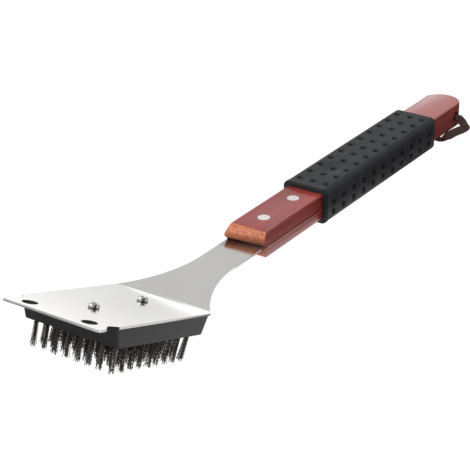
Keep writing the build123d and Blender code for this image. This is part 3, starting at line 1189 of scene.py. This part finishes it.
@dataclass
class Grip(Maker):
    """The moulded rubber sleeve, with rows of dimples and a thumb rest."""

    front: float = 164.0
    rear: float = 320.0
    half_width: float = 17.2
    half_height: float = 12.55
    corner: float = 4.2
    wall: float = 3.4
    lip: float = 3.2
    lip_rise: float = 0.3
    lip_slope: float = 1.6
    end_round: float = 0.9
    columns: int = 11
    first_column: float = 174.15
    column_pitch: float = 13.69
    top_rows: tuple[float, ...] = (-11.0, -0.6, 9.8)
    side_rows: tuple[float, ...] = (1.8, -5.2)
    dimple_radius: float = 2.9
    dimple_depth: float = 1.5
    dimple_wall: float = 0.5
    face_band: float = 1.6
    rest_band: float = 2.5
    rest_at: Pair = (199.5, 0.0)
    rest_size: Pair = (15.5, 11.5)
    rest_depth: float = 1.3
    step_along: float = 0.52
    step_round: float = 0.52

    def build(self) -> Piece:
        """Models the sleeve.

        Returns:
            The finished piece.
        """
        outline, normals = self._outline()
        along = round((self.rear - self.front) / self.step_along)
        Bench.clear()
        bpy.ops.mesh.primitive_grid_add(x_subdivisions=along, y_subdivisions=len(outline), size=2)
        grip = Bench.started("grip")
        self._wrap(grip, outline, normals)
        self._close(grip)
        return self.settle(grip, self.frame.to_rest, Finish.RUBBER, 50, "grip_sleeve")

    def _outline(self) -> tuple[np.ndarray, np.ndarray]:
        """Even (y, z) points round the sleeve from its middle line below, and their normals."""
        flat_y, flat_z = self.half_width - self.corner, self.half_height - self.corner
        arc = math.pi / 2 * self.corner
        runs = [flat_y, arc, 2 * flat_z, arc, 2 * flat_y, arc, 2 * flat_z, arc, flat_y]
        count = round(sum(runs) / self.step_round)
        points, normals = [], []
        for number in range(count):
            left, run = sum(runs) * number / count, 0
            while left > runs[run]:
                left -= runs[run]
                run += 1
            quarter = run // 2
            if run % 2:
                angle = -math.pi / 2 + (quarter + left / arc) * math.pi / 2
                sign_y, sign_z = ((1, -1), (1, 1), (-1, 1), (-1, -1))[quarter]
                centre = (sign_y * flat_y, sign_z * flat_z)
                normal = (math.cos(angle), math.sin(angle))
                point = (centre[0] + self.corner * normal[0], centre[1] + self.corner * normal[1])
            else:
                normal = [(0, -1), (1, 0), (0, 1), (-1, 0), (0, -1)][quarter]
                far = self.half_width if quarter in (1, 3) else self.half_height
                walk = left - (0.0, flat_z, flat_y, flat_z, flat_y)[quarter]
                point = (normal[0] * far - normal[1] * walk, normal[1] * far + normal[0] * walk)
            points.append(point)
            normals.append(normal)
        return np.array(points), np.array(normals)

    def _sink(self, x: np.ndarray, y: np.ndarray, z: np.ndarray) -> tuple[np.ndarray, np.ndarray]:
        """How far the surface lies under the plain sleeve, and how deep in a dimple from 0 to 1."""
        column = np.clip(np.round((x - self.first_column) / self.column_pitch), 0, self.columns - 1)
        from_column = x - self.first_column - column * self.column_pitch
        level = np.abs(z) > self.half_height - self.face_band
        upright = np.abs(y) > self.half_width - self.face_band
        deep = np.zeros_like(x)
        for faces, across, rows in ((level, y, self.top_rows), (upright, z + MIDDLE, self.side_rows)):
            for row in rows:
                inside = self.dimple_radius - np.hypot(from_column, across - row)
                cup = ease(inside, 0.0, self.dimple_radius * self.dimple_wall)
                deep = np.maximum(deep, np.where(faces, cup, 0))
        at, size = self.rest_at, self.rest_size
        reach = np.hypot((x - at[0]) / size[0], (y - at[1]) / size[1])
        dish = np.where(z > self.half_height - self.rest_band, ease(1 - reach, 0.0, 1.0), 0)
        return deep * self.dimple_depth + dish * self.rest_depth, deep

    def _wrap(self, grip: Piece, outline: np.ndarray, normals: np.ndarray) -> None:
        """Rolls the flat grid into the sleeve, with its dimples sunk."""
        mesh = grip.data
        flat = np.empty(len(mesh.vertices) * 3)
        mesh.vertices.foreach_get("co", flat)
        flat = flat.reshape(-1, 3)
        part = (flat[:, 0] + 1) / 2
        turn = np.round((flat[:, 1] + 1) / 2 * len(outline)).astype(int) % len(outline)
        x = self.front + part * (self.rear - self.front)
        y, z = outline[turn].T
        sunk, deep = self._sink(x, y, z)
        offset = self._lip(x) - sunk - self._end_round(x)
        y, z = y + normals[turn, 0] * offset, z + normals[turn, 1] * offset
        mesh.vertices.foreach_set("co", np.column_stack((x, y, z + MIDDLE)).ravel())
        Bench.store(mesh, "sunk", deep)
        mesh.update()

    def _lip(self, x: np.ndarray) -> np.ndarray:
        """The raised lip at the sleeve's front."""
        return self.lip_rise * ease(self.front + self.lip + self.lip_slope / 2 - x, 0.0, self.lip_slope)

    def _end_round(self, x: np.ndarray) -> np.ndarray:
        """How far the two ends' outer edges are rounded off."""
        near = np.minimum(x - self.front, self.rear - x)
        part = np.clip(1 - near / self.end_round, 0, 1)
        return self.end_round * (1 - np.sqrt(1 - part * part))

    @staticmethod
    def _is_rim(end: float, edge: bmesh.types.BMEdge) -> bool:
        """Whether an edge runs round the open end of the sleeve at this place."""
        return edge.is_boundary and abs(edge.verts[0].co.x - end) < 0.05

    def _close(self, grip: Piece) -> None:
        """Closes the seam, the two ends and the bore."""
        Bench.pick(grip, Part.VERT, anything)
        bpy.ops.mesh.remove_doubles(threshold=0.001)
        shrink = (1, 1 - self.wall / self.half_width, 1 - self.wall / self.half_height)
        for end in (self.front, self.rear):
            Bench.pick(grip, Part.EDGE, partial(self._is_rim, end))
            bpy.ops.mesh.extrude_edges_move()
            bpy.ops.transform.resize(value=shrink)
        Bench.pick(grip, Part.EDGE, lambda e: e.is_boundary)
        bpy.ops.mesh.bridge_edge_loops()
        bpy.ops.mesh.select_all(action="SELECT")
        bpy.ops.mesh.normals_make_consistent(inside=False)


# --- strap


@dataclass
class Strap(Maker):
    """The leather strap: a loop through the handle's cross hole, leaning against the wood."""

    hole: Triple = (359.8, 0.0, MIDDLE)
    side: float = 13.8
    width: float = 6.2
    thick: float = 1.2
    edge_round: float = 0.45
    lean: float = math.radians(46)
    first_lean: float = math.radians(-48)
    first_leaning: Pair = (0.5, 5.0)
    leaning: Pair = (8.5, 14.5)
    flat_again: Pair = (33.0, 40.0)
    drawn_length: float = 122.5
    route: tuple[Triple, ...] = (
        (0.0, 2.4, -0.8),
        (0.3, 6.0, -4.2),
        (1.6, 9.6, -7.2),
        (-3.0, 8.0, -8.2),
        (-11.0, 5.6, -8.4),
        (-18.0, 4.6, -8.6),
        (-24.2, 3.9, -9.2),
        (-26.6, 2.0, -10.0),
        (-25.2, 0.0, -10.9),
        (-21.4, -6.0, -11.05),
    )

    def build(self) -> list[Piece]:
        """Models the loop outside the handle, and the run inside its hole.

        Returns:
            The two finished pieces.
        """
        line = self._line()
        near, far = (Vector(self.hole) + Vector((0, side, 0)) for side in (-self.side, self.side))
        through = [near.lerp(far, i / 8) for i in range(9)]
        outside = self._sweep("strap", line, self._turns(line))
        inside = self._sweep("strap_in_hole", through, [0.0] * len(through))
        settle = partial(self.settle, body="strap")
        settle(outside, self.frame.to_rest, Finish.LEATHER, 50, "hanging_strap")
        settle(inside, self.frame.to_rest, Finish.LEATHER, 50)
        self._declare(outside, inside, line)
        return [outside, inside]

    def _declare(self, outside: Piece, inside: Piece, line: Sequence[Vector]) -> None:
        """Takes the two pieces and their line, and does nothing with them."""

    def _line(self) -> list[Vector]:
        """Points along the strap's smooth route, from one mouth of the hole to the other."""
        places = ((0.0, 0.0, 0.0), *self.route)
        near = [Vector((x, -self.side - out, z)) for x, out, z in places]
        far = [Vector((p.x, -p.y, p.z)) for p in reversed(near)]
        curve = bpy.data.curves.new("strap_route", "CURVE")
        curve.dimensions = "3D"
        spline = curve.splines.new("NURBS")
        spline.points.add(len(near + far) - 1)
        for point, place in zip(spline.points, near + far):
            point.co = (*(Vector(self.hole) + place), 1)
        spline.order_u = 3
        spline.use_endpoint_u = True
        curve.resolution_u = 12
        holder = Bench.new("strap_route", curve)
        mesh = bpy.data.meshes.new_from_object(holder)
        line = [vertex.co.copy() for vertex in mesh.vertices]
        bpy.data.objects.remove(holder)
        return line

    def _turns(self, line: Sequence[Vector]) -> list[float]:
        """How far the strap leans at each point; it lies flat in the hole and under the handle."""
        walked = [0.0]
        for before, here in zip(line, line[1:]):
            walked.append(walked[-1] + (here - before).length)
        scale = self.drawn_length / walked[-1]
        turns = []
        for place in walked:
            near = min(place, walked[-1] - place) * scale
            first = self.first_lean * (ease(near, *self.first_leaning) - ease(near, *self.leaning))
            turns.append(first + self.lean * (ease(near, *self.leaning) - ease(near, *self.flat_again)))
        return turns

    def _section(self) -> list[Pair]:
        """Points round the strap's rounded section, as (across, through)."""
        points = []
        for quarter, (sign_a, sign_t) in enumerate(((1, 1), (-1, 1), (-1, -1), (1, -1))):
            for step in range(4):
                angle = (quarter + step / 3) * math.pi / 2
                flat_a, flat_t = self.width / 2 - self.edge_round, self.thick / 2 - self.edge_round
                across = sign_a * flat_a + self.edge_round * math.cos(angle)
                through = sign_t * flat_t + self.edge_round * math.sin(angle)
                points.append((across, through))
            if sign_a == sign_t:
                level = sign_t * self.thick / 2
                points += [(sign_a * self.width * share, level) for share in (0.25, 0.0, -0.25)]
        return points

    def _sweep(self, name: str, line: Sequence[Vector], turns: Sequence[float]) -> Piece:
        """A strip along a line, twisted about it."""
        section = self._section()
        vertices, rims = [], []
        for number, (here, turn) in enumerate(zip(line, turns)):
            before, after = line[max(number - 1, 0)], line[min(number + 1, len(line) - 1)]
            forward = (after - before).normalized()
            side = forward.cross(Vector((0, 0, 1))).normalized()
            across = side * math.cos(turn) + side.cross(forward) * math.sin(turn)
            through = forward.cross(across)
            for a, t in section:
                vertices.append(here + across * a + through * t)
                rims.append(abs(a) / (self.width / 2))
        rings = np.arange(len(vertices)).reshape(len(line), len(section))
        ahead = np.roll(rings, -1, axis=1)
        sides = np.stack((rings[:-1], ahead[:-1], ahead[1:], rings[1:]), axis=-1)
        faces = [*sides.reshape(-1, 4).tolist(), rings[0, ::-1].tolist(), rings[-1].tolist()]
        mesh = bpy.data.meshes.new(name)
        mesh.from_pydata(vertices, [], faces)
        Bench.store(mesh, "rim", rims)
        piece = Bench.new(name, mesh)
        Bench.pick(piece, Part.FACE, anything)
        bpy.ops.mesh.normals_make_consistent(inside=False)
        return piece


# --- kept CAD pieces


def dress_kept(frame: ToolFrame, nodes: Mapping[str, Piece]) -> None:
    """Gives the rivets and anchors, whose shapes stay, their finishes.

    Args:
        frame: the tool's frame.
        nodes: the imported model's nodes.
    """
    Finish.ANCHOR.paint(frame, *(nodes[f"anchor_row_{i + 1}"] for i in range(ROWS)))
    for node, x in RIVETS.items():
        coat(TurnedAluminium(node, (x, 0.0, MIDDLE)).material(frame), nodes[node])
    LOG.info("rivets and anchors dressed")


# --- studio


@dataclass
class Softbox:
    """One soft area light."""

    name: str
    place: Triple
    aim: Triple
    size: float
    power: float

    def build(self) -> None:
        """Hangs the light and turns it to what it lights."""
        light = bpy.data.lights.new(self.name, "AREA")
        light.shape = "SQUARE"
        light.size = self.size
        light.energy = self.power
        holder = Bench.new(self.name, light)
        holder.location = self.place
        sight = Vector(self.aim) - Vector(self.place)
        holder.rotation_euler = sight.to_track_quat("-Z", "Y").to_euler()


@dataclass
class Studio:
    """A pale floor, a white sweep behind, soft light and the camera."""

    floor_size: float = 9.0
    azimuth: float = -55.3211
    elevation: float = 27.9727
    roll: float = -1.7912
    place: Triple = (-0.857060, -0.554262, 0.549754)
    focal: float = 1717.74
    frame_width: int = 470
    sensor: float = 36.0
    floor_near: float = 0.72
    floor_far: float = 1.6
    flag: float = 0.03
    wood_slope: float = 0.105
    near_tool: Pair = (0.7, 0.45)
    brighter: Pair = (0.35, 1.2)
    sky: float = 0.66
    sky_dim: float = 0.5
    ahead_share: float = 0.85
    strip_power: float = 0.5
    softboxes: tuple[Softbox, ...] = (
        Softbox("key_light", (-0.7, 1.0, 1.6), (0.0, 0.0, 0.0), 1.2, 24.0),
        Softbox("fill_light", (-1.7, -0.1, 0.7), (0.0, 0.0, 0.02), 1.0, 4.0),
        Softbox("side_light", (0.42, -0.9, 0.3), (0.15, 0.0, 0.02), 0.5, 1.8),
    )

    def build(self) -> None:
        """Sets up the floor, the light and the camera."""
        self._floor()
        self._sky()
        for softbox in self.softboxes:
            softbox.build()
        self._camera()
        bpy.context.scene.view_settings.view_transform = "Standard"
        LOG.info("studio ready")

    def _floor(self) -> None:
        """A white floor; beside the handle and before the block it sends little light back.

        There it works as a dark flag does. Between the flag and the handle runs a bright strip.
        """
        Bench.clear()
        bpy.ops.mesh.primitive_plane_add(size=self.floor_size, location=(0, 0, 0))
        floor = Bench.started("floor")
        shader = Shader("studio_floor")
        x, y, _ = shader.split(shader.node("ShaderNodeTexCoord", output="Object"))
        away = distance(x, y)
        close = away.step(*self.near_tool)
        from_wood = y - x * self.wood_slope
        rise = self.floor_far - self.floor_near
        back = away.step(*self.brighter) * rise + self.floor_near
        beside = (from_wood + 0.032).step(0.004, -0.004) * x.step(-0.1, -0.06) * close
        strip = (from_wood + 0.036).step(0.0, 0.012) * x.step(-0.12, -0.06)
        strip = strip * away.step(0.5, 0.3) * y.step(0.0, -0.01)
        ahead = x.step(-0.2, -0.23) * y.step(-0.07, -0.045) * close
        flagged = beside.most(ahead * self.ahead_share)
        sent = (back - (back - self.flag) * flagged) + strip * self.strip_power
        seen = shader.node("ShaderNodeLightPath", output="Is Camera Ray")
        level = sent.most(seen)
        glow = shader.node("ShaderNodeCombineColor", inputs={0: level, 1: level, 2: level})
        own = {"Base_Color": (0.02, 0.02, 0.02), "Roughness": 1.0}
        coat(shader.finish(**own, Emission_Color=glow, Emission_Strength=1.0), floor)

    def _sky(self) -> None:
        """A white sweep low behind the tool, greyer overhead and dim on the near side."""
        world = bpy.data.worlds.new("studio")
        world.use_nodes = True
        sheet = NodeSheet(world.node_tree)
        x, y, z = sheet.split(sheet.node("ShaderNodeTexCoord", output="Generated"))
        sweep = z.step(0.32, 0.1) * (x * 0.83 + y * 0.55).step(0.0, 0.5)
        near_side = y.step(0.1, -0.5)
        level = sweep + self.sky - near_side * self.sky_dim
        background = world.node_tree.nodes["Background"]
        world.node_tree.links.new(level.output, background.inputs["Strength"])
        background.inputs["Color"].default_value = (1.0, 1.0, 1.0, 1.0)
        bpy.context.scene.world = world

    def _camera(self) -> None:
        """The camera, turned by its azimuth, elevation and roll."""
        turn, rise, roll = (math.radians(a) for a in (self.azimuth, self.elevation, self.roll))
        level = math.cos(rise)
        back = Vector((math.sin(turn) * level, -math.cos(turn) * level, math.sin(rise)))
        right = Vector((math.cos(turn), math.sin(turn), 0))
        up = back.cross(right)
        upright, tilt = math.cos(roll), math.sin(roll)
        axes = (right * upright + up * tilt, up * upright - right * tilt, back)
        matrix = Matrix(axes).transposed().to_4x4()
        matrix.translation = self.place
        lens = bpy.data.cameras.new("camera")
        lens.sensor_width = self.sensor
        lens.lens = self.sensor * self.focal / self.frame_width
        lens.clip_start, lens.clip_end = 0.01, 50.0
        camera = Bench.new("camera", lens)
        camera.matrix_world = matrix
        bpy.context.scene.camera = camera


# --- the whole brush


def main() -> None:
    """Builds the brush piece by piece round its frame."""
    logging.basicConfig(level=logging.INFO, format="%(name)s: %(message)s")
    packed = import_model()
    frame = ToolFrame.from_rivets()
    layout = TuftLayout()
    Studio().build()
    Strap(frame).build()
    nodes = packed["nodes"]
    dress_kept(frame, nodes)
    Blade(frame).build(nodes["blade"])
    Handle(frame).build(nodes["handle"])
    BrushBlock(frame).build(layout)
    for name, node, turn in (("screw_1", "screw_front", 35), ("screw_2", "screw_rear", 10)):
        Screw(frame, name, node, SCREWS[node], math.radians(turn)).build()
    Grip(frame).build()
    Bristles(frame).build(layout)
    Bench.clear()


if __name__ == "__main__":
    main()
